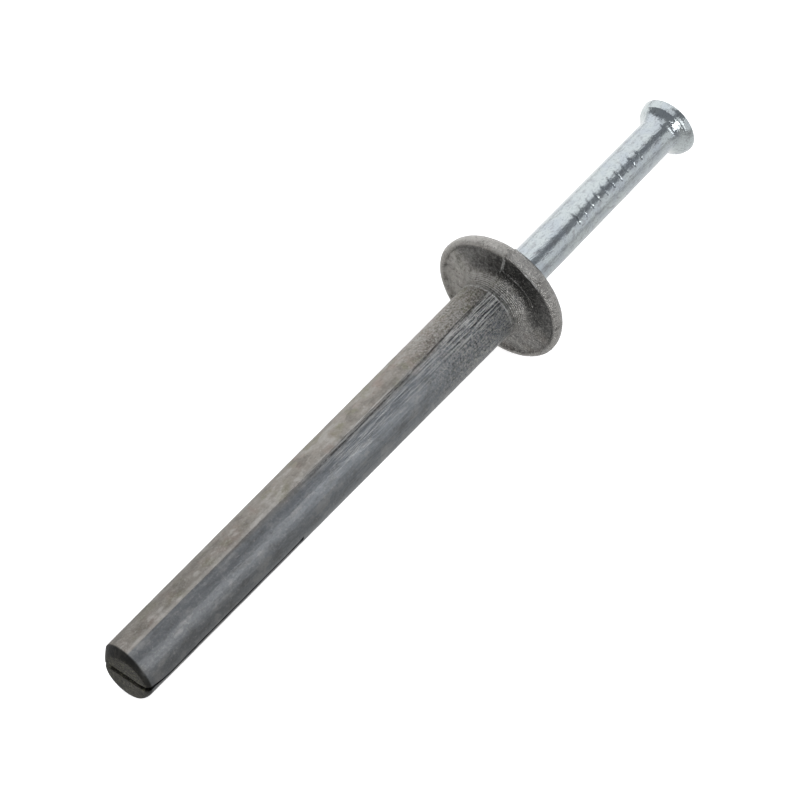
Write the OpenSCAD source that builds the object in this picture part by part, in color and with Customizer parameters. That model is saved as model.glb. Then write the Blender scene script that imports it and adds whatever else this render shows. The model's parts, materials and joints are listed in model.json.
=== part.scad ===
// Hammer drive anchor: a die-cast zinc sleeve with a mushroom head and a split tip,
// and the steel nail that is driven down its bore to spread the tip.
// The nail stands out of the head, as the anchor is before it is fixed.
// The anchor lies as it comes to rest on a flat surface: on the rim of its head and on its tip.
// Each piece is drawn along +Z, with the underside of the anchor's head at zero, and is then laid down.

/* [Sleeve] */
// Length of the sleeve, from the underside of its head to the end of the tip
sleeve_len = 50.3; // [40:0.1:65]
// Diameter of the sleeve just under its head
sleeve_d = 6.2; // [5.1:0.05:7.6]
// Diameter of the sleeve at the tip, before the end is rounded
tip_d = 5.4; // [4.5:0.05:6.5]
// Radius that rounds off the end of the tip
tip_round = 0.8; // [0.3:0.01:1.8]
// Radius of the fillet between the sleeve and its head
neck_fillet = 1.5; // [0.3:0.05:2.2]

/* [Head of the sleeve] */
// Diameter of the head
cap_d = 13.9; // [11.5:0.05:17]
// Height of the head at its middle
cap_h = 3.3; // [2.7:0.05:4.2]
// Radius of the rim's lower edge
cap_edge = 0.42; // [0.1:0.01:0.6]
// Radius of the rounded shoulder above the rim
cap_shoulder = 1.5; // [0.6:0.05:1.9]
// Width of the chamfer round the mouth of the bore
mouth_chamfer = 0.25; // [0.05:0.05:0.6]

/* [Parting line] */
// Height of the thin flash where the two halves of the die met
flash_h = 0.07; // [0.03:0.01:0.12]
// Thickness of the flash
flash_w = 0.14; // [0.08:0.01:0.3]
// Distance from the end of the tip to the flash, which is worn off below it
flash_start = 3; // [2:0.1:20]

/* [Split tip] */
// Length of the slit, from the end of the tip
slit_len = 19.2; // [12:0.1:24]
// Width of the slit
slit_w = 0.3; // [0.15:0.01:0.6]
// Diameter of the narrow pilot bore that the driven nail forces open
pilot_d = 2; // [1.8:0.05:2.6]
// Metal left between the end of the pilot bore and the end of the tip
drive_cover = 2.6; // [2:0.1:6]

/* [Nail] */
// Diameter of the nail
nail_d = 4.05; // [3.3:0.01:4.9]
// How far the nail's shank stands out of the sleeve's head
nail_stand = 24.1; // [15:0.1:30]
// Length of the tapered point
point_len = 3; // [2:0.1:5]
// Diameter of the flat at the end of the point
point_d = 1.6; // [0.8:0.05:1.7]

/* [Head of the nail] */
// Diameter of the nail's head
head_d = 6.5; // [5.4:0.05:7.8]
// Radius of the rounded underside of the nail's head
head_under = 1.5; // [0.8:0.05:1.8]
// Radius of the fillet between the nail and its head
head_fillet = 0.35; // [0.1:0.05:0.6]
// Radius of the upper edge of the nail's head
head_edge = 0.2; // [0.05:0.01:0.28]
// Rise of the nail's head above its widest part
head_rise = 0.35; // [0.3:0.01:0.8]

/* [Grip marks] */
// Number of marks that the heading machine's grips leave on each side of the nail
mark_count = 10; // [0:1:14]
// Distance from one mark to the next
mark_pitch = 1.19; // [0.6:0.01:1.4]
// Distance from the fillet under the nail's head to the first mark
mark_start = 4.9; // [1:0.1:6]
// Width of a mark
mark_w = 0.3; // [0.1:0.01:0.4]
// Depth of a mark
mark_depth = 0.24; // [0.05:0.01:0.3]

/* [Fit] */
// Gap between the nail and the wall of its bore
bore_gap = 0.12; // [0.05:0.01:0.2]
// Gap along the axis between the nail's point and the taper that it stops against
seat_gap = 0.1; // [0.05:0.01:0.3]
// Share of that gap that the loose nail takes up as it leans
lean_share = 0.7; // [0:0.05:0.9]

/* [Resting pose] */
// Turn of the nail's grip marks about its axis, from straight up
mark_turn = 14; // [-45:1:45]
// Direction in which the nail leans, from straight up
lean_turn = -62; // [-180:1:180]

/* [Hidden] */
$fn = 96;
// How far cutters run past what they cut
over = 1;
// How far the neck's fillet is moved into the sleeve's side, so that the two cross and don't just touch
cross = 0.005;

// Taper of the sleeve: radius gained for each millimetre towards the head, and the length of that slope
taper = (sleeve_d - tip_d) / 2 / sleeve_len;
slope = sqrt(1 + taper * taper);
// Direction straight out of the tapered side
side_out = [1, -taper] / slope;
// Arc that rounds the tip, under half of its radius, and its centre
tip_r = min(tip_round, 0.24 * tip_d);
tip_x = tip_d / 2 + taper * tip_r - slope * tip_r;
tip_z = tip_r - sleeve_len;
// Centre of the neck fillet
neck_x = sleeve_d / 2 - taper * neck_fillet + slope * neck_fillet - cross;

// The nail, driven home, stops at the end of the pilot bore
nail_len = cap_h + sleeve_len - drive_cover;
point_z = cap_h + nail_stand - nail_len;
shank_z = point_z + point_len;
nail_r = nail_d / 2;
// The bore, its taper parallel to the nail's point, and the pilot below it
bore_r = nail_r + bore_gap;
pilot_r = pilot_d / 2;
point_slope = point_len / (nail_r - point_d / 2);
funnel_z = shank_z - seat_gap;
pilot_z = funnel_z - (bore_r - pilot_r) * point_slope;
pilot_end_z = drive_cover - sleeve_len;
// The nail leans about the middle of the length that the bore holds
held_len = cap_h - shank_z;
lean = atan(2 * lean_share * bore_gap / held_len);
lean_z = cap_h - held_len / 2;

// Arc under the nail's head, the fillet below it, and the point where the two meet
under_r = min(head_under, 0.24 * head_d);
under_x = head_d / 2 - under_r;
fillet_x = nail_r + head_fillet;
pull_x = min(under_x, fillet_x);
widest = sqrt(pow(under_r + head_fillet, 2) - pow(fillet_x - pull_x, 2));
fillet_share = head_fillet / (under_r + head_fillet);
fillet_touch = [fillet_x + (pull_x - fillet_x) * fillet_share, widest * fillet_share];

// The anchor rolls until the flash on its rim touches the surface beside the rim itself
cap_r = cap_d / 2;
sleeve_turn = acos(cap_r / (cap_r + flash_h));
// It lies on the line that touches both the rim's lower edge and the rounded tip
rim_x = cap_r - cap_edge;
rest_run = cap_edge - tip_z;
rest_rise = rim_x - tip_x;
lie_tilt = atan2(rest_rise, rest_run) - asin((tip_r - cap_edge) / norm([rest_run, rest_rise]));
lie_h = rim_x * cos(lie_tilt) - cap_edge * sin(lie_tilt) + cap_edge;
// Ends of the whole anchor along the surface, which put the origin under its middle
head_top_z = cap_h + nail_stand + widest + head_rise;
far_x = (head_top_z - head_edge) * cos(lie_tilt) + (head_d / 2 - head_edge) * sin(lie_tilt) + head_edge;
near_x = tip_z * cos(lie_tilt) - tip_x * sin(lie_tilt) - tip_r;

// Lays a piece down: its axis runs along +X and rises by the resting tilt
module lie_down() {
    translate([-(near_x + far_x) / 2, 0, lie_h])
        rotate([0, 90 - lie_tilt, 0])
            rotate([0, 0, 180])
                children();
}

// Quarter of a disc on the outer side of its centre, above the centre or below it
module quarter_disc(x, z, r, above) {
    intersection() {
        translate([x, z]) circle(r);
        translate([x, above ? z : z - r]) square(r);
    }
}

// Half section of a low crown: a rounded shoulder that runs smoothly into a shallow dome
module crown_half(r, shoulder, height) {
    reach = r - shoulder;
    dome_r = (reach * reach + height * height - shoulder * shoulder) / (2 * (height - shoulder));
    touch_x = reach * dome_r / (dome_r - shoulder);
    intersection() {
        translate([0, height - dome_r]) circle(dome_r, $fn = 360);
        square([touch_x, height]);
    }
    difference() {
        quarter_disc(reach, 0, shoulder, true);
        square([touch_x, height]);
    }
}

// Half section of the tapered sleeve with its rounded end
module sleeve_half(grow) {
    end_z = -sleeve_len - grow;
    touch = [tip_x, tip_z] + (tip_r + grow) * side_out;
    polygon([[0, end_z], [tip_x, end_z], [tip_x, tip_z], touch, [sleeve_d / 2 + grow * slope, 0], [0, 0]]);
    quarter_disc(tip_x, tip_z, tip_r + grow, false);
}

// Half section of the fillet that carries the sleeve into the underside of its head
module neck_half(grow) {
    touch = [neck_x, -neck_fillet] - (neck_fillet - grow) * side_out;
    difference() {
        polygon([touch, [neck_x, -grow], [neck_x, 0], [0, 0], [0, touch[1]]]);
        translate([neck_x, -neck_fillet]) circle(neck_fillet - grow);
    }
}

// Half section of the mushroom head: a flat underside, a rounded rim and a low dome
module cap_half(grow) {
    translate([0, -grow]) square([rim_x, cap_edge + grow]);
    quarter_disc(rim_x, cap_edge, cap_edge + grow, false);
    translate([0, cap_edge]) crown_half(cap_r + grow, cap_shoulder + grow, cap_h - cap_edge + grow);
}

// Half section of the whole casting, grown outwards by an even amount
module casting_half(grow = 0) {
    sleeve_half(grow);
    neck_half(grow);
    cap_half(grow);
}

// Thin flash that stands out along both sides of the casting, in the plane where the die parts
module parting_flash() {
    rotate([90, 0, 0])
        linear_extrude(flash_w, center = true)
            intersection() {
                union() {
                    casting_half(flash_h);
                    mirror([1, 0]) casting_half(flash_h);
                }
                translate([-cap_d, flash_start - sleeve_len]) square([2 * cap_d, sleeve_len + cap_h]);
            }
}

// Half section of the bore: chamfered mouth, full bore, taper and blind pilot
module bore_half() {
    polygon([
        [0, cap_h + over],
        [bore_r + mouth_chamfer + over, cap_h + over],
        [bore_r, cap_h - mouth_chamfer],
        [bore_r, funnel_z],
        [pilot_r, pilot_z],
        [pilot_r, pilot_end_z + pilot_r],
        [0, pilot_end_z]
    ]);
}

// Slit that splits the tip into two legs, square to the parting plane
module slit() {
    translate([-slit_w / 2, -sleeve_d, -sleeve_len - over])
        cube([slit_w, 2 * sleeve_d, slit_len + over]);
}

// Half section of the nail's shank and of the rounded underside of its head, from its point at zero
module shank_half() {
    core_len = nail_len + widest / 2;
    polygon([[0, 0], [point_d / 2, 0], [nail_r, point_len], [nail_r, core_len], [0, core_len]]);
    translate([0, nail_len]) {
        difference() {
            square(fillet_touch);
            translate([fillet_x, 0]) circle(head_fillet);
        }
        quarter_disc(under_x, widest, under_r, false);
        translate([0, widest - under_r]) square([under_x, under_r]);
    }
}

// Row of short notches pressed across one side of the nail, just below its head
module grip_marks() {
    reach = mark_depth + over;
    half_w = mark_w / 2 * reach / mark_depth;
    for (i = [0:1:mark_count - 1])
        translate([nail_r - mark_depth, nail_d, nail_len - mark_start - i * mark_pitch])
            rotate([90, 0, 0])
                linear_extrude(2 * nail_d) polygon([[0, 0], [reach, half_w], [reach, -half_w]]);
}

module anchor_body() {
    color("#8d8a86")
        lie_down() rotate([0, 0, sleeve_turn])
            difference() {
                union() {
                    rotate_extrude() casting_half();
                    parting_flash();
                }
                rotate_extrude() bore_half();
                slit();
            }
}

module drive_nail() {
    color("#b4babd")
        lie_down() translate([0, 0, lean_z])
            rotate([0, 0, lean_turn]) rotate([0, lean, 0]) rotate([0, 0, mark_turn - lean_turn])
                translate([0, 0, point_z - lean_z])
                    difference() {
                        rotate_extrude() {
                            shank_half();
                            translate([0, nail_len + widest]) crown_half(head_d / 2, head_edge, head_rise);
                        }
                        for (side = [0, 180]) rotate([0, 0, side]) grip_marks();
                    }
}

anchor_body();
drive_nail();
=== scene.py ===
"""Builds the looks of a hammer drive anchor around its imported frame: the die-cast zinc sleeve, with its
split tip and its mushroom head, and the zinc-plated steel nail that stands out of it."""
import json
import math
import random

import bpy
from mathutils import Matrix, Vector, noise


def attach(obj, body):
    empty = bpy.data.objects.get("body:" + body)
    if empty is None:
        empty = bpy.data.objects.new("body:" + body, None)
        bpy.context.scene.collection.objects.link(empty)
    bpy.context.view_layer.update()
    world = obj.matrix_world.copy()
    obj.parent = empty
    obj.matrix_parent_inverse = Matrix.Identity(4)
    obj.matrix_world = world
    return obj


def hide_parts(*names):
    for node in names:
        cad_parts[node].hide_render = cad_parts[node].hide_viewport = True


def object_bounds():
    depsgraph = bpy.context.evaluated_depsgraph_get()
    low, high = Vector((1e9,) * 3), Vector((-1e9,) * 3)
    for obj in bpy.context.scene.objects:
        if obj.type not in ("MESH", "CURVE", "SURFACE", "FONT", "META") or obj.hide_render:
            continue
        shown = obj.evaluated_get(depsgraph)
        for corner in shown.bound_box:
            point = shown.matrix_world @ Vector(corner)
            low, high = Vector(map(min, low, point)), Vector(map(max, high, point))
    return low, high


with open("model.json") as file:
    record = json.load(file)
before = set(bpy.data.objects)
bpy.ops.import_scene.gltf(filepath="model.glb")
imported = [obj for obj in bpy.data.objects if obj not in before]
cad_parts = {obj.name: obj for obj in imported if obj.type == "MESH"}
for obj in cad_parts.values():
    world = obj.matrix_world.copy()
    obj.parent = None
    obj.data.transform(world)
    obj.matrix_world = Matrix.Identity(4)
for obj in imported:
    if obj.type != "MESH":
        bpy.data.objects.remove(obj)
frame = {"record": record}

bl_info = {
    "name": "Hammer Drive Anchor",
    "version": (1, 0, 0),
    "blender": (4, 5, 0),
    "location": "View3D > Sidebar > Drive Anchor",
    "description": "Models a zinc hammer drive anchor and its steel nail, with a studio around them",
    "category": "Object",
}

CAD_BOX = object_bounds()
MM = 0.001
# The middle of the head's flat underside, and the way from there along the anchor to the nail's head.
SEAT = next(m for m in frame["record"]["mounts"] if m["name"] == "cap_seat")
SEAT_MIDDLE = Vector((SEAT["pos_m"][0], 0, SEAT["pos_m"][2]))
ALONG = -Vector(SEAT["axis"]).normalized()
# Turn about the anchor's axis, from straight up, that brings the parting line to its place.
PARTING_TURN = math.radians(8.1)
# Turn, from straight up, of the side of the anchor that faces up and forward.
NEAR_TURN = math.radians(28.4)


def lying_down(turn=0.0):
    """Takes a piece drawn in mm along +Z, with the head's underside at zero, to where it lies, in metres."""
    up = Vector((-ALONG.z, 0, ALONG.x))
    axes = Matrix((up, ALONG.cross(up), ALONG)).transposed().to_4x4()
    return Matrix.Translation(SEAT_MIDDLE) @ axes @ Matrix.Rotation(turn, 4, "Z") @ Matrix.Scale(MM, 4)


def leaning(n):
    """Turns the loose nail, about the middle of the length that its bore holds, by the little play it has."""
    about = Vector((0, 0, n.lean_height))
    side = Vector((-math.sin(n.lean_turn), math.cos(n.lean_turn), 0))
    return Matrix.Translation(about) @ Matrix.Rotation(n.lean, 4, side) @ Matrix.Translation(-about)


def size(name, description, default):
    """A length in millimetres that a user may change."""
    return bpy.props.FloatProperty(name=name, description=description, default=default, precision=3)


def angle(name, description, degrees):
    """An angle that a user may change."""
    return bpy.props.FloatProperty(
        name=name, description=description, default=math.radians(degrees), subtype="ANGLE")


def tint(name, description, code):
    """A colour that a user may change, given as an sRGB hex code."""
    return bpy.props.FloatVectorProperty(
        name=name, description=description, default=linear(code), subtype="COLOR", size=4, min=0, max=1)


def linear(code):
    """Turns an sRGB hex code into the linear colour that shaders take."""
    parts = [int(code[place:place + 2], 16) / 255 for place in (1, 3, 5)]
    return [c / 12.92 if c <= 0.04045 else ((c + 0.055) / 1.055) ** 2.4 for c in parts] + [1.0]


class SleeveSizes(bpy.types.PropertyGroup):
    """Sizes of the zinc sleeve, in millimetres."""
    sleeve_len: size("Sleeve length", "From the underside of the head to the end of the tip", 50.3)
    sleeve_d: size("Sleeve diameter", "Just under the head", 6.18)
    tip_d: size("Tip diameter", "Before the end is rounded", 5.4)
    tip_long: size("Tip rounding length", "How far along the sleeve the rounded end reaches", 0.66)
    tip_deep: size("Tip rounding depth", "How far in from the side the rounded end reaches", 0.52)
    tip_break: angle("Tip break", "Angle of the soft edge where the side ends", 20)
    tip_shift: size("Face shift", "How far the end face sits off the axis, towards its low side", 0.3)
    tip_lean: angle("Face lean", "How far the end face leans back on its upper side", 8.6)
    edge_lean: angle("Edge lean", "How far the edge where the side ends draws back on its upper side", 1.7)
    edge_turn: angle("Edge turn", "How far that edge reaches out on its low side", 2.7)
    neck_fillet: size("Neck fillet", "Radius between the sleeve and its head", 1.5)
    cap_d: size("Head diameter", "Across the rim", 13.9)
    cap_h: size("Head height", "At the middle of the dome", 3.3)
    cap_edge: size("Rim edge", "Radius of the rim's lower edge", 0.42)
    bead_h: size("Bead", "Height of the bead at the start of the fillet under the head", 0.035)
    dish_h: size("Dish", "How far the head's underside is sunk within the lip of its rim", 0.16)
    cap_shoulder: size("Shoulder", "Radius above the rim", 1.5)
    mouth: size("Mouth chamfer", "Width of the chamfer round the bore", 0.25)
    bore_d: size("Bore diameter", "Bore that holds the nail", 4.29)
    bore_end: size("Bore end", "Height at which the bore starts to taper", -20.7)
    pilot_d: size("Pilot diameter", "Narrow bore that the nail forces open", 2.0)
    pilot_start: size("Pilot start", "Height at which the taper ends", -23.5)
    pilot_end: size("Pilot end", "Height of the pilot bore's end", -47.7)
    slit_top: size("Slit top", "Height at which the slit ends", -31.1)
    slit_w: size("Slit width", "Width of the slit", 0.27)
    flash_h: size("Flash height", "Height of the parting line's thin flash", 0.07)
    flash_w: size("Flash width", "Thickness of the flash", 0.14)
    roof_turn: angle("Roof turn", "Turn over which each half runs straight up to the parting line", 12)
    half_step: size("Die step", "How far one half of the casting is set off from the other", 0.05)


class DriveNailSizes(bpy.types.PropertyGroup):
    """Sizes of the steel nail, in millimetres, and how it leans in its bore."""
    nail_d: size("Nail diameter", "Diameter of the shank", 4.05)
    point_z: size("Point height", "Height of the point's flat end", -23.6)
    point_len: size("Point length", "Length of the tapered point", 3.0)
    point_d: size("Point flat", "Diameter of the point's flat end", 1.6)
    neck_z: size("Neck height", "Height at which the fillet under the head starts", 26.86)
    head_d: size("Head diameter", "Across the head", 6.48)
    head_fillet: size("Head fillet", "Radius between the shank and its head", 1.275)
    head_rise: size("Head rise", "Height of the crown above the widest part", 0.2)
    head_edge: size("Head edge", "Radius of the crown's edge", 0.2)
    mark_count: bpy.props.IntProperty(name="Grip marks", description="Marks on each side of the shank", default=10)
    mark_first: size("First mark", "Height of the mark nearest the head", 22.5)
    mark_pitch: size("Mark pitch", "Distance between marks", 1.19)
    mark_w: size("Mark width", "Width of a mark", 0.24)
    mark_depth: size("Mark depth", "Depth of a mark", 0.17)
    mark_turn: angle("Mark turn", "Turn of the marks about the axis, from up", 24)
    lean: angle("Lean", "How far the loose nail leans", 0.403)
    lean_turn: angle("Lean turn", "Side to which the nail leans, from up", -62)
    lean_height: size("Lean height", "Height about which the nail leans", -8.65)


class FinishColours(bpy.types.PropertyGroup):
    """Colours of the two metals and of the studio."""
    zinc_warm: tint("Oxidised zinc", "Matt half of the casting", "#96918a")
    zinc_cool: tint("Fresh zinc", "Smoother half of the casting", "#808488")
    zinc_pink: tint("Copper-tinged zinc", "Faint pink patches on the matt half", "#94877f")
    zinc_olive: tint("Olive zinc", "Faint olive patches and the end of the tip", "#84826f")
    # Its darkness is partly painted shade.
    zinc_end: tint("Tarnished zinc", "End face of the tip", "#403f3b")
    # Also used for painted shade on the tip's rounded edge and on the upper side of the head's underside.
    zinc_edge: tint("Dark zinc", "Rounded edge of the tip, pits and scored lines", "#383837")
    # Also used for painted highlights on the lip, on the flash under the head and on the fillet's rings.
    zinc_shine: tint("Shining zinc", "Scored lines and rings worn bright", "#d2d2d0")
    # Also used for painted shade towards the tip and towards the parting line.
    zinc_dark: tint("Stained zinc", "Stains and pores", "#5a5752")
    # Also used for painted highlights on the fillet and along the parting line.
    zinc_bright: tint("Rubbed zinc", "Rubbed high spots", "#aeaca8")
    plate: tint("Zinc plate", "Bright plate on the nail", "#bcc3c4")
    plate_blue: tint("Bluish plate", "Patches of the plate that look bluer", "#b4bbc0")
    plate_spot: tint("Plate crystals", "Crystals of the plate that lie dark", "#7c8083")
    plate_dark: tint("Thin plate", "Dull spots in the plate", "#9a9c9f")
    floor: tint("Floor", "Studio floor", "#f4f4f4")


# ---------------------------------------------------------------- mesh helpers

def start_outline(name, first):
    """Starts an outline: a plane is added, merged to one point, and that point is moved to its place."""
    bpy.ops.object.select_all(action="DESELECT")
    bpy.ops.mesh.primitive_plane_add(size=1, location=(0, 0, 0))
    piece = bpy.context.object
    piece.name = piece.data.name = name
    bpy.ops.object.mode_set(mode="EDIT")
    bpy.ops.mesh.select_all(action="SELECT")
    bpy.ops.mesh.merge(type="CENTER")
    bpy.ops.transform.translate(value=(first[0], 0, first[1]))
    return piece


def extrude_outline(points):
    """Extrudes the last point of the outline through these points."""
    for (x0, z0), (x1, z1) in zip(points, points[1:]):
        bpy.ops.mesh.extrude_region_move(TRANSFORM_OT_translate={"value": (x1 - x0, 0, z1 - z0)})


def spin_outline(steps):
    """Spins the outline once round the Z axis and closes the seam and the poles."""
    bpy.ops.mesh.select_all(action="SELECT")
    bpy.ops.mesh.spin(steps=steps, angle=math.tau, center=(0, 0, 0), axis=(0, 0, 1))
    bpy.ops.mesh.select_all(action="SELECT")
    bpy.ops.mesh.remove_doubles(threshold=1e-4)
    bpy.ops.mesh.normals_make_consistent(inside=False)
    bpy.ops.object.mode_set(mode="OBJECT")


def line(start, end, step):
    """Points from start to end, about one step apart, without the start."""
    count = max(1, round(math.dist(start, end) / step))
    return [(start[0] + (end[0] - start[0]) * k / count, start[1] + (end[1] - start[1]) * k / count)
            for k in range(1, count + 1)]


def arc(middle, radius, start, end, step):
    """Points on an arc between two angles in degrees, about one step apart, without the start."""
    count = max(2, round(radius * math.radians(abs(end - start)) / step))
    turns = [math.radians(start + (end - start) * k / count) for k in range(1, count + 1)]
    return [(middle[0] + radius * math.cos(t), middle[1] + radius * math.sin(t)) for t in turns]


def ease(value, low, high):
    """Goes smoothly from 0 at low to 1 at high."""
    share = min(1, max(0, (value - low) / (high - low)))
    return share * share * (3 - 2 * share)


def speckle(point, scale, seed):
    """Smooth seeded noise, from about -1 to 1."""
    return noise.noise(Vector(point) * scale + Vector((seed, -seed, 0.5 * seed)))


def select_only(piece):
    """Selects this piece and nothing else."""
    bpy.ops.object.select_all(action="DESELECT")
    piece.select_set(True)
    bpy.context.view_layer.objects.active = piece


def finish_piece(piece, place, crease, material):
    """Puts the piece in its place and applies that, so its object sits at the origin, then smooths it, apart from
    edges sharper than the crease angle, and gives it its material."""
    select_only(piece)
    piece.matrix_world = place
    bpy.ops.object.transform_apply(location=True, rotation=True, scale=True)
    bpy.ops.object.shade_smooth_by_angle(angle=math.radians(crease))
    piece.data.materials.clear()
    piece.data.materials.append(material)


# ---------------------------------------------------------------- the zinc sleeve

def sleeve_outline(s):
    """Half of the casting's outline, from the middle of the tip over the head and down the bore."""
    side_x, tip_x, bore = s.sleeve_d / 2, s.tip_d / 2, s.bore_d / 2
    points = [(0, -s.sleeve_len)]
    points += line(points[-1], (tip_x - s.tip_deep, -s.sleeve_len), 0.16)
    points += tip_corner(s)
    taper = (side_x - tip_x) / s.sleeve_len
    points += line(points[-1], (side_x - taper * (s.neck_fillet + 0.6), -s.neck_fillet - 0.6), 0.3)
    points += line(points[-1], (side_x - taper * s.neck_fillet, -s.neck_fillet), 0.06)
    neck = (side_x + s.neck_fillet, -s.neck_fillet)
    points += arc(neck, s.neck_fillet, 180, 90, 0.1)
    # The head's underside is dished from the fillet outwards, and steps down to a flat lip inside the rim.
    rim = s.cap_d / 2
    lip = rim - s.cap_edge
    points[-1] = (points[-1][0], s.dish_h / 2)
    points += line(points[-1], (lip - 0.34, s.dish_h), 0.12)
    points += line(points[-1], (lip - 0.18, 0), 0.05)
    points += line(points[-1], (lip, 0), 0.06)
    points += arc((lip, s.cap_edge), s.cap_edge, -90, 0, 0.09)
    # The dome is an arc through the middle of the top that meets the rounded shoulder without a break.
    shoulder = (rim - s.cap_shoulder, s.cap_edge + 0.05)
    rise = s.cap_h - shoulder[1]
    dome_r = (shoulder[0] ** 2 + rise ** 2 - s.cap_shoulder ** 2) / (2 * (rise - s.cap_shoulder))
    dome_middle = (0, s.cap_h - dome_r)
    meet = math.degrees(math.atan2(shoulder[1] - dome_middle[1], shoulder[0]))
    mouth_x = bore + s.mouth
    mouth_turn = math.degrees(math.acos(mouth_x / dome_r))
    points += line(points[-1], (rim, shoulder[1]), 0.1)
    points += arc(shoulder, s.cap_shoulder, 0, meet, 0.1)
    points += arc(dome_middle, dome_r, meet, mouth_turn, 0.16)
    # Down the bore, its taper and the narrow bore to its end.
    points += line(points[-1], (bore, points[-1][1] - s.mouth), 0.12)
    points += line(points[-1], (bore, s.bore_end), 1.2)
    points += line(points[-1], (s.pilot_d / 2, s.pilot_start), 1.0)
    points += line(points[-1], (s.pilot_d / 2, s.pilot_end), 1.0)
    points += line(points[-1], (0, s.pilot_end), 0.5)
    return points


def tip_corner(s):
    """The rounded corner from the end face to the soft edge where the side ends, flatter than an ellipse."""
    power, steps = 1.6, 18
    edge_out, edge_down = math.cos(s.tip_break) ** power, math.sin(s.tip_break) ** power
    points = []
    for step in range(1, steps + 1):
        turn = math.pi / 2 + (s.tip_break - math.pi / 2) * step / steps
        out = math.cos(turn) ** power / edge_out
        down = (math.sin(turn) ** power - edge_down) / (1 - edge_down)
        points.append((s.tip_d / 2 - s.tip_deep * (1 - out), -s.sleeve_len + s.tip_long * (1 - down)))
    return points


def gather_columns(piece, strength):
    """Draws the columns of the mesh together at the parting line, so that they can carry its flash."""
    for vertex in piece.data.vertices:
        x, y, _ = vertex.co
        radius, turn = math.hypot(x, y), math.atan2(y, x)
        turn -= strength * math.sin(2 * turn)
        vertex.co.x, vertex.co.y = radius * math.cos(turn), radius * math.sin(turn)


def weather_casting(piece, s):
    """Gives the casting its flash, the step between its halves, its sheared tip and its uneven skin. Effects fade
    over heights along the sleeve, from the head's underside, or over distances from its axis."""
    mouth_edge, above_tip = s.bore_d / 2 + s.mouth + 0.01, s.pilot_end - 0.5
    bead_z = -s.neck_fillet - 0.1
    upper = NEAR_TURN - PARTING_TURN
    normals = [vertex.normal.copy() for vertex in piece.data.vertices]
    for vertex, normal in zip(piece.data.vertices, normals):
        x, y, z = vertex.co
        radius = math.hypot(x, y)
        # The bore and its mouth stay true.
        if radius <= mouth_edge and z >= above_tip:
            continue
        near_head = ease(z, -24, -3)
        unworn = 1 - ease(-z, 20, 44)
        move = Vector((0, 0, 0))
        # Both halves run straight for a little way up to the parting line, so that they meet in a low ridge.
        from_parting = math.asin(min(1, abs(y) / max(radius, 0.1)))
        if from_parting < s.roof_turn and z < 1.0:
            roof = radius * (1 / math.cos(s.roof_turn - from_parting) - 1)
            off_head, off_tip = 1 - ease(radius, 3.3, 6.0), 1 - ease(-z, s.sleeve_len - 4, s.sleeve_len - 1)
            move += normal * roof * off_head * off_tip
        # The flash on it, broken here and there, and worn off towards the tip. It runs on across the head.
        along = z if radius < 4.8 else 12 - radius
        broken = 0.5 + 0.5 * speckle((along, 0, 7 if x < 0 else 3), 1.6, 11)
        ridge = math.exp(-(y / (0.3 * s.flash_w)) ** 2)
        move += normal * (s.flash_h * ridge * broken * (0.05 + 0.6 * unworn + 0.35 * ease(radius, 3.3, 5)))
        # One half of the casting is set off from the other, most of all at the head.
        half = ease(y, -0.02, 0.06)
        sunk, raised = 0.6 * s.half_step * (0.35 + 0.65 * unworn), 2.2 * s.half_step * ease(z, -1.2, 0)
        move += Vector((-sunk, 0, raised)) * half
        # The uneven skin: slow waves all over, and a rougher grain towards the head.
        place = vertex.co
        wave = 0.010 * speckle(place, 0.7, 3) + 0.006 * speckle(place, 1.9, 5)
        grain = (0.003 + 0.009 * near_head) * speckle(place, 4.2, 9)
        move += normal * (wave + grain)
        # A low bead where the side ends and the fillet under the head starts.
        if radius < 3.6:
            move += normal * s.bead_h * math.exp(-((z - bead_z) / 0.12) ** 2)
        # Marks drawn along the sleeve when the die let go of it.
        around = math.atan2(y, x) * 3
        drawn = speckle((around * 3.2, 0.09 * z, 1), 1.0, 21) * ease(z, -45, -20)
        scored = speckle((around * 7.5, 0.12 * z, 4), 1.0, 23) * ease(z, -16, -3)
        move += normal * ((0.010 * drawn + 0.020 * scored) * (1 - ease(radius, 3.4, 4.2)))
        vertex.co = place + move
        # The end face sits askew, and so does the edge where the side ends.
        height, across = x * math.cos(upper) + y * math.sin(upper), y * math.cos(upper) - x * math.sin(upper)
        face = min(1, max(0, 1 - (z + s.sleeve_len) / s.tip_long))
        edge = min(1, max(0, 1 - (z + s.sleeve_len - s.tip_long) / 3)) * (1 - face)
        vertex.co.z += face * math.tan(s.tip_lean) * height
        vertex.co.z += edge * (math.tan(s.edge_lean) * height - math.tan(s.edge_turn) * across)
        vertex.co += face * s.tip_shift * Vector((-math.sin(upper), math.cos(upper), 0))


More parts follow.
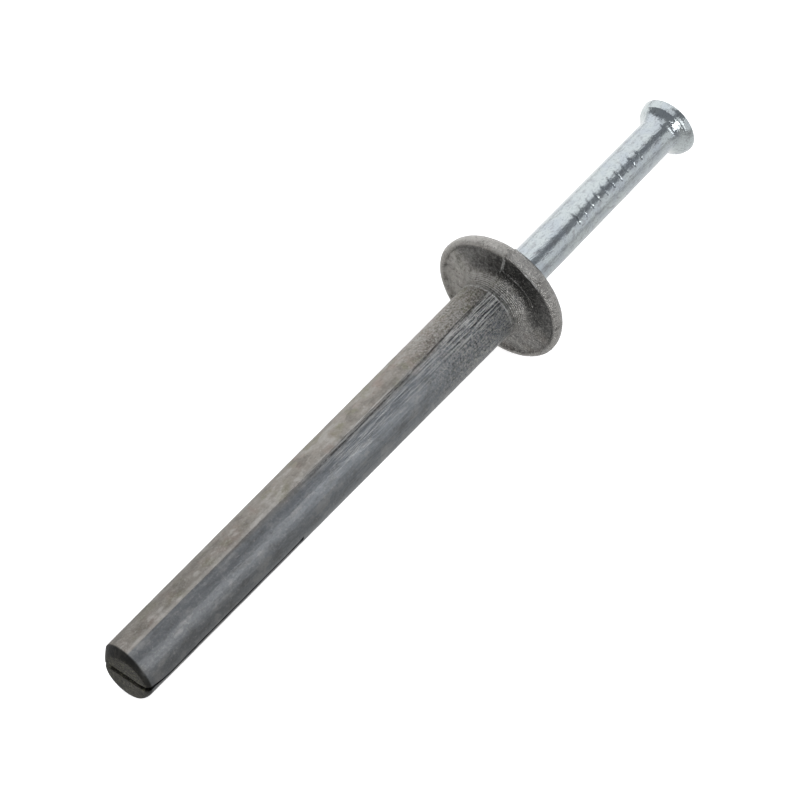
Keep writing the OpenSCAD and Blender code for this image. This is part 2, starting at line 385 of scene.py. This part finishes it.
def slit_cutter(s):
    """A thin blade, a little wavy, that splits the tip. It bends and widens towards the end face."""
    bpy.ops.object.select_all(action="DESELECT")
    end, bottom, top = -s.sleeve_len, -s.sleeve_len - 1.5, s.slit_top
    bpy.ops.mesh.primitive_cube_add(size=1, location=(0, 0, (bottom + top) / 2))
    blade = bpy.context.object
    blade.name = "slit_cutter"
    blade.scale = (s.slit_w, s.tip_d + 3, top - bottom)
    bpy.ops.object.transform_apply(location=True, rotation=False, scale=True)
    bpy.ops.object.mode_set(mode="EDIT")
    bpy.ops.mesh.select_all(action="SELECT")
    bpy.ops.mesh.subdivide(number_cuts=24)
    bpy.ops.object.mode_set(mode="OBJECT")
    for vertex in blade.data.vertices:
        x, y, z = vertex.co
        # The bend starts further from the end on the far side, and is stronger there.
        bend_start, curl = (end + 8, 0.035) if y < 0 else (end + 2.4, 0.015)
        bend = 0.06 * speckle((0, 0.9 * y, 0.35 * z), 1.0, 31)
        bend += (0.05 * y + curl * y ** 3) * ease(z, bend_start, end + 0.5)
        swell = 1 + 1.3 * ease(z, end + 1.1, end + 0.3) + 0.25 * speckle((0, y, z), 0.8, 33)
        # The slit is wider again at its upper end, near the sleeve's surface.
        swell += 1.3 * ease(z, top - 1.0, top - 0.3) * ease(abs(y), 2.2, 2.9)
        vertex.co.x = x * swell + bend
    return blade


def cut_slit(piece, blade):
    """Splits the tip with the blade."""
    uncut = len(piece.data.vertices)
    cut = piece.modifiers.new("slit", "BOOLEAN")
    cut.operation, cut.object, cut.solver = "DIFFERENCE", blade, "EXACT"
    select_only(piece)
    bpy.ops.object.modifier_apply(modifier=cut.name)
    bpy.data.objects.remove(blade)
    if len(piece.data.vertices) <= uncut:
        raise RuntimeError("the blade didn't cut the slit")


class ANCHOR_OT_sleeve(bpy.types.Operator):
    """Model the die-cast zinc sleeve with its head, its bore and its split tip"""
    bl_idname = "anchor.sleeve"
    bl_label = "Zinc Sleeve"

    def execute(self, context):
        s = context.scene.sleeve_sizes
        points = sleeve_outline(s)
        piece = start_outline("zinc_sleeve", points[0])
        extrude_outline(points)
        spin_outline(steps=216)
        gather_columns(piece, strength=0.27)
        weather_casting(piece, s)
        cut_slit(piece, slit_cutter(s))
        finish_piece(piece, lying_down(PARTING_TURN), 32, die_cast_zinc())
        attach(piece, "root")
        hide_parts("anchor_body")
        return {"FINISHED"}


# ---------------------------------------------------------------- the steel nail

def marked_stretch(n):
    """The heights between which the shank carries its grip marks."""
    return n.mark_first - n.mark_pitch * n.mark_count, n.mark_first + 0.6


def nail_place(n):
    """Where the nail lies: turned to bring its marks to their place, and leaning in its bore."""
    return lying_down() @ leaning(n) @ Matrix.Rotation(n.mark_turn, 4, "Z")


def nail_outline(n):
    """Half of the nail's outline, from the middle of its point to the middle of its crown."""
    shank = n.nail_d / 2
    marks_low, marks_high = marked_stretch(n)
    points = [(0, n.point_z)]
    points += line(points[-1], (n.point_d / 2, n.point_z), 0.4)
    points += line(points[-1], (shank, n.point_z + n.point_len), 0.5)
    # Up the shank, with steps fine enough for the marks where they are.
    points += line(points[-1], (shank, 2.5), 1.5)
    points += line(points[-1], (shank, marks_low), 0.4)
    points += line(points[-1], (shank, marks_high), 0.055)
    points += line(points[-1], (shank, n.neck_z), 0.25)
    points += arc((shank + n.head_fillet, n.neck_z), n.head_fillet, 180, 146, 0.04)
    # The underside flares from the fillet to a ridge and swells to the widest part. Each stretch has a length and
    # its slope in degrees, from the axis, at its two ends. All are drawn out together to reach the head's width.
    stretches = [(0.60, 34, 45.5), (0.16, 45.5, 48), (0.18, 48, 45.5), (0.12, 45.5, 32), (0.85, 32, 2)]
    cuts = 8
    steps = [(length / cuts, math.radians(start + (end - start) * (k + 0.5) / cuts))
             for length, start, end in stretches for k in range(cuts)]
    drawn_out = (n.head_d / 2 - points[-1][0]) / sum(length * math.sin(slope) for length, slope in steps)
    for length, slope in steps:
        out, along = points[-1]
        points.append((out + drawn_out * length * math.sin(slope), along + drawn_out * length * math.cos(slope)))
    # A short upright rim, the rounded edge, and the low crown.
    widest = points[-1]
    points += line(widest, (widest[0], widest[1] + n.head_rise - n.head_edge - 0.06), 0.07)
    points += arc((widest[0] - n.head_edge, points[-1][1]), n.head_edge, 0, 80, 0.05)
    edge, crown, cuts = points[-1], widest[1] + n.head_rise, 16
    points += [(edge[0] * (1 - k / cuts), edge[1] + (crown - edge[1]) * math.sin(math.pi / 2 * k / cuts))
               for k in range(1, cuts + 1)]
    return points


def press_grip_marks(piece, n):
    """Presses the rows of marks that the heading machine's grips leave on both sides of the shank."""
    # Each mark has its height, its side, how deep it was pressed, its slant and its shift round the shank.
    dice = random.Random(5)
    marks = [(n.mark_first - k * n.mark_pitch, side,
              dice.uniform(0.7, 1.2), dice.uniform(-0.10, -0.02), dice.uniform(-0.15, 0.15))
             for side in (1, -1) for k in range(n.mark_count)]
    marks_low, marks_high = marked_stretch(n)
    for vertex in piece.data.vertices:
        x, y, z = vertex.co
        if not marks_low < z < marks_high:
            continue
        for height, side, press, slant, shift in marks:
            # How far off the middle of the mark this is: its edge is at 1, and its raised lip ends at 2.
            off = abs(z - height - slant * y) / (n.mark_w / 2)
            if off > 2 or x * side <= 0:
                continue
            # The grips' teeth are straight, so each mark is a narrow flat across the round wire.
            radius, turn = math.hypot(x, y), math.atan2(y, abs(x)) + 0.2 * shift
            if abs(turn) > 1:
                continue
            depth = max(0, radius - (n.nail_d / 2 - n.mark_depth * press) / math.cos(turn))
            # The teeth bit deeper on one side of it.
            depth *= 0.45 + 0.9 * ease(turn * side, -0.3, 0.3)
            lip = 0.18 * depth * math.exp(-((off - 1.25) / 0.35) ** 2)
            dip = 0.6 * depth * min(1, (1 - off) / 0.6) if off < 1 else 0
            pressed = 1 - (dip - lip) / (n.nail_d / 2)
            vertex.co.x *= pressed
            vertex.co.y *= pressed


def dent_nail(piece, n):
    """Gives the nail the slight unevenness of drawn wire, and its head that of a blow from the header."""
    # Below this height the shank is hidden in the sleeve.
    hidden_below = 1
    for vertex in piece.data.vertices:
        x, y, z = vertex.co
        if z < hidden_below:
            continue
        radius = math.hypot(x, y)
        if radius > 0.1:
            out = Vector((x, y, 0)) / radius
            vertex.co += out * (0.006 * speckle((x, y, 0.25 * z), 1.4, 41) + 0.003 * speckle((x, y, z), 3, 43))
        # The head sits off the middle of the shank, and a little askew, so it is higher on one side.
        in_head = ease(z, n.neck_z + 0.3, n.neck_z + 1.9)
        vertex.co += in_head * Vector((-0.03, 0.11, 0.08 - 0.09 * x - 0.02 * y))


class ANCHOR_OT_drive_nail(bpy.types.Operator):
    """Model the zinc-plated steel nail with its grip marks and its rounded head"""
    bl_idname = "anchor.drive_nail"
    bl_label = "Drive Nail"

    def execute(self, context):
        n = context.scene.drive_nail_sizes
        points = nail_outline(n)
        piece = start_outline("steel_nail", points[0])
        extrude_outline(points)
        spin_outline(steps=160)
        press_grip_marks(piece, n)
        dent_nail(piece, n)
        finish_piece(piece, nail_place(n), 35, zinc_plated_steel())
        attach(piece, "root")
        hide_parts("drive_nail")
        return {"FINISHED"}


# ---------------------------------------------------------------- materials

def put(tree, kind, inputs=None, **options):
    """Adds one node, sets its options, and fills or links its inputs."""
    made = tree.nodes.new("ShaderNode" + kind)
    for option, value in options.items():
        setattr(made, option, value)
    for socket, value in (inputs or {}).items():
        if isinstance(value, bpy.types.NodeSocket):
            tree.links.new(value, made.inputs[socket])
        else:
            made.inputs[socket].default_value = value
    return made


def new_material(name):
    """An empty node material with its output."""
    material = bpy.data.materials.new(name)
    material.use_nodes = True
    material.node_tree.nodes.clear()
    return material, material.node_tree, put(material.node_tree, "OutputMaterial")


def along_piece(tree, matrix):
    """Coordinates in mm in the frame of a piece that lies at this matrix, split into x, y and z."""
    back = matrix.inverted()
    place = put(tree, "Mapping", {
        "Vector": put(tree, "TexCoord").outputs["Object"],
        "Location": back.translation,
        "Rotation": back.to_euler(),
        "Scale": back.to_scale()}, vector_type="POINT").outputs["Vector"]
    return place, put(tree, "SeparateXYZ", {0: place}).outputs


def mask(tree, *parts):
    """Multiplies shares. A part is a number, a node's output, or a place where a share sets in: a field, and the
    two values of it between which the share goes smoothly from 0 to 1, or between two shares given after them."""
    product = None
    for part in parts:
        if isinstance(part, tuple):
            field, low, high, start, end = (*part, 0.0, 1.0)[:5]
            part = put(tree, "MapRange", {"Value": field, "From Min": low, "From Max": high, "To Min": start,
                                          "To Max": end}, interpolation_type="SMOOTHSTEP").outputs[0]
        if product is None:
            product = part
        else:
            product = put(tree, "Math", {0: product, 1: part}, operation="MULTIPLY").outputs[0]
    return product


def total(tree, *terms):
    """Adds up masks, each given by its parts."""
    whole = mask(tree, *terms[0])
    for parts in terms[1:]:
        whole = put(tree, "Math", {0: whole, 1: mask(tree, *parts)}, operation="ADD").outputs[0]
    return whole


def coated(tree, under, *coats):
    """Lays colours over the one under them. Each coat is a colour and the parts of its mask."""
    for colour, *parts in coats:
        under = put(tree, "Mix", {"Factor": mask(tree, *parts), 6: under, 7: colour}, data_type="RGBA").outputs[2]
    return under


def die_cast_zinc():
    """Bare zinc alloy, die-cast: a satin grey skin with a fine grain, rougher at the head where the metal met
    the die last. One half kept a chalky oxide bloom, the other is smoother and bluer."""
    colours, s = bpy.context.scene.finish_colours, bpy.context.scene.sleeve_sizes
    dark, bright = colours.zinc_dark, colours.zinc_bright
    darkest, shining = colours.zinc_edge, colours.zinc_shine
    material, tree, output = new_material("die_cast_zinc")

    # Where a point is, in mm: its height on the upper side, how far it lies to the low side, how far up it is from
    # the askew edge where the side ends, and how far it lies from the axis and from the middle of the end face.
    place, (x, y, z) = along_piece(tree, lying_down(PARTING_TURN))
    turned = NEAR_TURN - PARTING_TURN
    upper_side = Vector((math.cos(turned), math.sin(turned), 0))
    low_side = Vector((-math.sin(turned), math.cos(turned), 0))
    up_from_edge = Vector((0, 0, 1)) + math.tan(s.edge_turn) * low_side - math.tan(s.edge_lean) * upper_side
    height, across, edge_z = [
        put(tree, "VectorMath", {0: place, 1: way}, operation="DOT_PRODUCT").outputs["Value"]
        for way in (upper_side, low_side, up_from_edge)]
    flat = put(tree, "VectorMath", {0: place, 1: (1, 1, 0)}, operation="MULTIPLY").outputs[0]
    radius, from_face = [
        put(tree, "VectorMath", {0: flat, 1: middle}, operation="DISTANCE").outputs["Value"]
        for middle in ((0, 0, 0), s.tip_shift * low_side)]
    turn = put(tree, "Math", {0: y, 1: x}, operation="ARCTAN2").outputs[0]
    fillet_way = put(tree, "Math", {0: radius, 1: z}, operation="ADD").outputs[0]

    # Patterns, each with what it shows and how large that is.
    long_place = put(tree, "Mapping", {"Vector": place, "Scale": (1.0, 1.0, 0.6)}).outputs[0]
    turn_place = put(tree, "CombineXYZ", {0: turn, 1: z}).outputs[0]
    drawn_place = put(tree, "Mapping", {"Vector": turn_place, "Scale": (3.0, 0.05, 1.0)}).outputs[0]
    (grain, _), (cloud, hue), (patch, _), (blotch, _), (crystal, _), (drawn, _), (scored, _) = [
        put(tree, "TexNoise", {"Vector": vector, "Scale": scale, "Detail": detail, "Roughness": roughness}).outputs
        for vector, scale, detail, roughness in (
            (place, 3.4, 6.0, 0.7),         # grain of about 0.25 mm, drawn coarser than it is so that it shows
            (place, 0.55, 3.0, 0.6),        # clouds of about 2 mm
            (long_place, 0.95, 4.0, 0.55),  # patches of 1 to 2 mm, drawn out along the sleeve
            (place, 2.0, 5.0, 0.65),        # blotches of about 0.5 mm
            (place, 4.6, 4.0, 0.75),        # crystals of about 0.2 mm
            (drawn_place, 2.6, 5.0, 0.65),  # marks about 0.2 mm wide and several mm long
            (drawn_place, 6.5, 2.0, 0.6))]  # lines about 0.1 mm wide, scored along the parting line
    _, pinkness, oliveness = put(tree, "SeparateColor", {0: hue}).outputs
    # Fine rings that the turned die left on the fillet under the head, 0.24 mm apart.
    rings = put(tree, "Math", {0: mask(tree, fillet_way, math.tau / 0.24)}, operation="SINE").outputs[0]

    # Where the head starts, and where the skin grows rougher towards it.
    to_head, roughening = (z, -2.2, -0.6), (z, -24.0, -4.0)
    # Parts of the casting: its head, the head's rim and underside, the upper side of that, which is painted dark
    # as the shank's shade and reflection, the middle of the lip, and the bead where the fillet starts.
    cap = mask(tree, to_head)
    to_rim, lip_r = (radius, s.cap_d / 2 - 0.55, s.cap_d / 2 - 0.25), s.cap_d / 2 - 0.40
    rim = mask(tree, cap, to_rim)
    under = mask(tree, cap, (*to_rim, 1.0, 0.0))
    shank_shade = mask(tree, under, (height, 0.2, 2.4), (radius, 3.3, 4.3))
    bead_z = -s.neck_fillet - 0.1
    bead = mask(tree, (z, bead_z - 0.2, bead_z - 0.06), (z, bead_z + 0.2, bead_z + 0.06), (radius, 3.8, 3.4))
    # The half on the low side is the smoother one. The halves part sharply at the tip and softly further up.
    softening = (z, -43.0, -29.0)
    half_low, half_high = mask(tree, (*softening, -0.06, -0.61)), mask(tree, (*softening, 0.04, 0.89))
    smooth_half = mask(tree, (y, half_low, half_high), (*to_head, 1.0, 0.5))
    chalky_half = total(tree, (1.0,), (smooth_half, -1.0))
    # How strong some of the looks are at each place, and how far it is from the seam, which wanders a little.
    # How strong the painted shade towards the tip is.
    tip_shade = total(tree, (chalky_half, 0.12), (0.30,))
    patchy = total(tree, (chalky_half, 0.15), (0.28,))
    coarse = total(tree, ((z, -16.0, -5.0, 0.15, 1.25),), (cap, -0.55))
    # How strong the painted shade towards the parting line is, on the matt half and off the head.
    parting_shade = total(tree, (chalky_half,), (cap, -1.0))
    clouded = total(tree, (cloud,), (-0.25,))
    ringed = mask(tree, (fillet_way, 1.5, 1.8), (fillet_way, 3.6, 2.8))
    lines_start = put(tree, "Math", {0: mask(tree, (z, -29.0, -22.0, 0.0, 0.35)), 1: mask(tree, (z, -12.0, -5.0))},
                      operation="MAXIMUM").outputs[0]
    lined = mask(tree, lines_start, (z, -1.2, -1.7), (turn, -0.1, 0.03), (turn, 0.9, 0.3, 0.2, 1.0))
    seam_y = total(tree, (y,), ((z, -4.0, -20.0, 0.05, -0.3),))

    skin = coated(
        tree, colours.zinc_warm,
        (colours.zinc_cool, smooth_half),
        # Faint pink and olive in the bloom. Painted shade darkens the skin towards the tip, and the bloom towards
        # the parting line.
        (colours.zinc_pink, chalky_half, (pinkness, 0.48, 0.66, 0.0, 0.75)),
        (colours.zinc_olive, chalky_half, (oliveness, 0.50, 0.66, 0.0, 0.7)),
        (dark, tip_shade, (z, -18.0, -46.0)),
        (dark, parting_shade, (y, -2.2, -0.6, 0.0, 0.24)),
        # The head's underside: stained and blotched, with painted shade on its upper side, and rubbed on its rim.
        (dark, under, clouded),
        (darkest, shank_shade, 0.92),
        (bright, under, (across, -2.0, -5.0, 0.0, 0.45)),
        (darkest, under, (blotch, 0.48, 0.34, 0.0, 0.6)),
        (bright, under, (blotch, 0.54, 0.68, 0.0, 0.6)),
        (bright, rim, 0.75),
        # Patches, pores, marks drawn along the sleeve, and high spots that are rubbed bright.
        (dark, patchy, (patch, 0.48, 0.34)),
        (bright, patchy, (patch, 0.52, 0.66)),
        (dark, (grain, 0.46, 0.34), (*roughening, 0.15, 0.60)),
        (dark, (drawn, 0.44, 0.34), (*roughening, 0.2, 0.55)),
        (bright, (grain, 0.55, 0.75, 0.0, 0.6)),
        # Crystals that turn dark or bright faces up.
        (darkest, coarse, (crystal, 0.46, 0.31)),
        (bright, coarse, (crystal, 0.49, 0.61)),
        # More painted shade on the upper side of the head's underside.
        (darkest, shank_shade, 0.5),
        # Lines scored along the parting line near the head, and the bead where the fillet starts.
        (darkest, lined, (scored, 0.46, 0.36)),
        (shining, lined, (scored, 0.50, 0.62)),
        (shining, bead, (grain, 0.35, 0.6, 0.1, 0.75)),
        # A painted highlight fanning across the low side of the fillet, streaked by scored lines, and one on the
        # lip.
        (bright, (fillet_way, 1.7, 2.3), (fillet_way, 4.0, 3.0), (across, 1.0, 2.4),
         (scored, 0.42, 0.60, 0.1, 0.8)),
        (shining, cap, (radius, lip_r - 0.16, lip_r - 0.05), (radius, lip_r + 0.16, lip_r + 0.05),
         (z, 0.4, 0.2), (height, 4.0, 5.0), (across, -0.6, 0.3), (across, 2.4, 1.5, 0.0, 0.9)),
        # Painted highlights on the parting line near the tip and on the flash under the head, a dark seam in
        # between.
        (bright, (y, -0.5, -0.2), (y, 0.05, -0.05), (x, 0.0, 1.0, 0.0, 0.3), (z, -28.0, -40.0)),
        (shining, under, (y, -0.16, -0.06), (y, 0.16, 0.06), (radius, 4.4, 5.0, 0.0, 0.7), (x, 0.0, 1.0)),
        (darkest, (seam_y, -0.13, -0.03), (seam_y, 0.13, 0.03), (x, 0.0, 1.0), (z, -30.0, -24.0),
         (grain, 0.35, 0.55), (*to_head, 0.8, -0.2)),
        # The fillet's rings, painted shining as painted highlights.
        (shining, ringed, (rings, 0.1, 0.9), 0.5))
    # The end face is tarnished and painted dark as shade, and its rounded edge is painted darker still, as shade.
    tarnish_and_shade = coated(tree, colours.zinc_end, (colours.zinc_olive, (crystal, 0.44, 0.66, 0.0, 0.75)))
    end_skin = coated(
        tree, darkest,
        (tarnish_and_shade, (from_face, 2.5, 1.8)),
        (darkest, (grain, 0.50, 0.36, 0.0, 0.6)),
        (dark, (patch, 0.50, 0.62, 0.0, 0.35)))
    edge_start = s.tip_long - s.sleeve_len
    skin = coated(tree, skin, (end_skin, (edge_z, edge_start + 0.12, edge_start - 0.08)))

    relief = total(
        tree,
        (grain, (*roughening, 0.3, 1.05)),
        (drawn, (*roughening, 0.35, 0.85)),
        (rings, ringed, 0.12),
        (crystal, coarse),
        (scored, lined, 1.6))
    bump = put(tree, "Bump", {"Strength": 1.0, "Distance": 0.00010, "Height": relief}).outputs[0]
    # The smooth half and the head are a little glossier.
    roughness = total(tree, (cloud, 0.14), (smooth_half, -0.08), (cap, -0.14), (0.36,))
    shader = put(tree, "BsdfPrincipled", {
        "Base Color": skin, "Metallic": 1.0, "Roughness": roughness, "Normal": bump})
    tree.links.new(shader.outputs[0], output.inputs[0])
    return material


def zinc_plated_steel():
    """Carbon steel, cold-headed from drawn wire and electroplated with bright zinc: a bluish white, satin plate,
    slightly rippled so that reflections break up."""
    colours, n = bpy.context.scene.finish_colours, bpy.context.scene.drive_nail_sizes
    material, tree, output = new_material("zinc_plated_steel")
    place, (_, _, z) = along_piece(tree, nail_place(n))
    # Ripples of the plate, about 0.3 mm across and longer along the wire.
    stretched = put(tree, "Mapping", {"Vector": place, "Scale": (1.0, 1.0, 0.45)}).outputs[0]
    ripple = put(tree, "TexNoise", {"Vector": stretched, "Scale": 2.6, "Detail": 4.0, "Roughness": 0.6}).outputs[0]
    cloud = put(tree, "TexNoise", {"Vector": place, "Scale": 0.6, "Detail": 2.0}).outputs[0]
    # Crystals of the plate, about 0.15 mm, that lie dark.
    crystal = put(tree, "TexNoise", {"Vector": place, "Scale": 5.0, "Detail": 3.0, "Roughness": 0.7}).outputs[0]
    plate = colours.plate
    # Bluish patches, dull spots and dark crystals, each with where its pattern sets in and how far it goes.
    for colour, pattern, low, high, most in (
            (colours.plate_blue, cloud, 0.42, 0.62, 1.0),
            (colours.plate_dark, ripple, 0.47, 0.27, 0.85),
            (colours.plate_spot, crystal, 0.47, 0.33, 0.38)):
        share = put(tree, "MapRange", {
            "Value": pattern, "From Min": low, "From Max": high, "To Max": most}).outputs[0]
        plate = put(tree, "Mix", {"Factor": share, 6: plate, 7: colour}, data_type="RGBA").outputs[2]
    bump = put(tree, "Bump", {"Strength": 0.6, "Distance": 0.00007, "Height": ripple}).outputs[0]
    # The head, which the header's die pressed, is glossier than the drawn shank.
    dull = put(tree, "MapRange", {"Value": ripple, "To Min": 0.25, "To Max": 0.13}).outputs[0]
    smooth = put(tree, "MapRange", {"Value": z, "From Min": n.neck_z, "From Max": n.neck_z + 0.4,
                                    "To Min": 1.0, "To Max": 0.6}).outputs[0]
    roughness = put(tree, "Math", {0: dull, 1: smooth}, operation="MULTIPLY").outputs[0]
    shader = put(tree, "BsdfPrincipled", {
        "Base Color": plate, "Metallic": 1.0, "Roughness": roughness, "Normal": bump})
    tree.links.new(shader.outputs[0], output.inputs[0])
    return material


def studio_floor():
    """White matt studio paper. It shows as white and keeps a faint shadow under the anchor."""
    material, tree, output = new_material("studio_paper")
    path = put(tree, "LightPath").outputs
    # The paper's own glow lifts it to white wherever it is seen.
    seen = put(tree, "Math", {0: path["Is Camera Ray"], 1: path["Is Transmission Ray"]},
               operation="MAXIMUM").outputs[0]
    paper = put(tree, "BsdfDiffuse", {"Color": bpy.context.scene.finish_colours.floor}).outputs[0]
    glow = put(tree, "Emission", {"Strength": 0.72}).outputs[0]
    lit = put(tree, "AddShader", {0: paper, 1: glow}).outputs[0]
    # Metal mirrors it darker in front of the anchor and towards the tip, as beside a dark curtain, and a little
    # brighter than white far behind the head. The level runs along y + 0.6 x, in metres.
    x, y = put(tree, "SeparateXYZ", {0: put(tree, "TexCoord").outputs["Object"]}).outputs[0:2]
    side = put(tree, "Math", {0: x, 1: 0.6, 2: y}, operation="MULTIPLY_ADD").outputs[0]
    level = put(tree, "MapRange", {"Value": side, "From Min": -0.032, "From Max": 0.06,
                                   "To Min": 0.42, "To Max": 1.3}).outputs[0]
    mirror_view = put(tree, "Emission", {"Strength": level}).outputs[0]
    shown = put(tree, "MixShader", {0: seen, 1: paper, 2: lit}).outputs[0]
    mirrored = put(tree, "MixShader", {0: path["Is Glossy Ray"], 1: shown, 2: mirror_view}).outputs[0]
    tree.links.new(mirrored, output.inputs[0])
    return material


# ---------------------------------------------------------------- the studio

def softbox(name, target, direction, distance, width, height, level, spread=180):
    """A soft lamp that faces its target, looks this bright in a reflection and spreads over this angle."""
    lamp = bpy.data.lights.new(name, "AREA")
    lamp.shape, lamp.size, lamp.size_y = "RECTANGLE", width, height
    lamp.energy = level * math.pi * width * height
    lamp.spread = math.radians(spread)
    holder = bpy.data.objects.new(name, lamp)
    bpy.context.scene.collection.objects.link(holder)
    holder.location = Vector(target) + Vector(direction).normalized() * distance
    holder.rotation_euler = Vector(direction).to_track_quat("Z", "Y").to_euler()
    holder.visible_camera = False


class ANCHOR_OT_studio(bpy.types.Operator):
    """Set up the camera, the floor, the lamps and the world"""
    bl_idname = "anchor.studio"
    bl_label = "Studio"

    def execute(self, context):
        scene = context.scene
        lens = bpy.data.cameras.new("camera")
        lens.lens, lens.sensor_width, lens.clip_start = 79.07, 36, 0.01
        camera = bpy.data.objects.new("camera", lens)
        scene.collection.objects.link(camera)
        # It stands in front of the sleeve and above it, and is turned so that the anchor lies across its view.
        stand = SEAT_MIDDLE + Vector((-97.51, -67.38, 116.66)) * MM
        right, up = Vector((0.6298, -0.7769, 0)).normalized(), Vector((0.5760, 0.4669, 0.6711)).normalized()
        facing = Matrix((right, up, right.cross(up))).transposed().to_4x4()
        camera.matrix_world = Matrix.Translation(stand) @ facing
        scene.camera = camera

        bpy.ops.object.select_all(action="DESELECT")
        bpy.ops.mesh.primitive_plane_add(size=3, location=(0, 0, 0))
        floor = context.object
        floor.name = "floor"
        just_under = CAD_BOX[0][2] - 0.01 * MM
        floor.data.transform(Matrix.Translation((0, 0, just_under)))
        floor.data.materials.append(studio_floor())

        # Each lamp has its target, the way to it from there, its distance, width and height, and its brightness.
        tip, middle = Vector((CAD_BOX[0][0], 0, 4 * MM)), Vector((0, 0, 0))
        softbox("key", middle, (0.40, 0.63, 0.67), 0.55, 1.00, 0.84, 1.00)
        softbox("fill", middle, (0.43, -0.80, 0.29), 0.60, 0.70, 0.37, 0.62)
        softbox("strip", tip, (0.41, -0.70, 0.58), 0.24, 0.06, 0.04, 0.22, spread=34)
        softbox("glint", middle, (-0.82, -0.52, 0.26), 0.50, 0.15, 0.15, 8.0)
        softbox("edge", middle, (-0.205, -0.890, 0.407), 0.55, 0.12, 0.40, 1.7)
        softbox("side", middle, (-0.24, -0.70, 0.66), 0.50, 0.24, 0.22, 0.75)
        softbox("top", middle, (-0.24, 0.02, 0.97), 0.50, 0.24, 0.40, 0.75)

        world = bpy.data.worlds.new("studio_air")
        scene.world = world
        world.use_nodes = True
        tree = world.node_tree
        tree.nodes.clear()
        # The air shows white behind the anchor, and lights it as a dim, slightly blue room.
        path = put(tree, "LightPath").outputs
        air = put(tree, "Background", {"Color": (0.28, 0.29, 0.31, 1), "Strength": 1.0}).outputs[0]
        white = put(tree, "Background", {"Color": (1, 1, 1, 1), "Strength": 1.0}).outputs[0]
        mixed = put(tree, "MixShader", {0: path["Is Camera Ray"], 1: air, 2: white}).outputs[0]
        tree.links.new(mixed, put(tree, "OutputWorld").inputs[0])
        scene.view_settings.view_transform = "Standard"
        return {"FINISHED"}


class ANCHOR_PT_sidebar(bpy.types.Panel):
    """Lists the pieces and their sizes."""
    bl_label = "Drive Anchor"
    bl_idname = "ANCHOR_PT_sidebar"
    bl_space_type = "VIEW_3D"
    bl_region_type = "UI"
    bl_category = "Drive Anchor"

    def draw(self, context):
        for operator, group in (("anchor.sleeve", "sleeve_sizes"), ("anchor.drive_nail", "drive_nail_sizes"),
                                ("anchor.studio", "finish_colours")):
            box = self.layout.box()
            box.operator(operator)
            sizes = getattr(context.scene, group)
            for name in sizes.__annotations__:
                box.prop(sizes, name)


CLASSES = (SleeveSizes, DriveNailSizes, FinishColours, ANCHOR_OT_sleeve, ANCHOR_OT_drive_nail, ANCHOR_OT_studio,
           ANCHOR_PT_sidebar)


def register():
    for one in CLASSES:
        bpy.utils.register_class(one)
    bpy.types.Scene.sleeve_sizes = bpy.props.PointerProperty(type=SleeveSizes)
    bpy.types.Scene.drive_nail_sizes = bpy.props.PointerProperty(type=DriveNailSizes)
    bpy.types.Scene.finish_colours = bpy.props.PointerProperty(type=FinishColours)


def unregister():
    for group in ("finish_colours", "drive_nail_sizes", "sleeve_sizes"):
        delattr(bpy.types.Scene, group)
    for one in reversed(CLASSES):
        bpy.utils.unregister_class(one)


def main():
    register()
    bpy.ops.anchor.studio()
    bpy.ops.anchor.sleeve()
    bpy.ops.anchor.drive_nail()


if __name__ == "__main__":
    main()
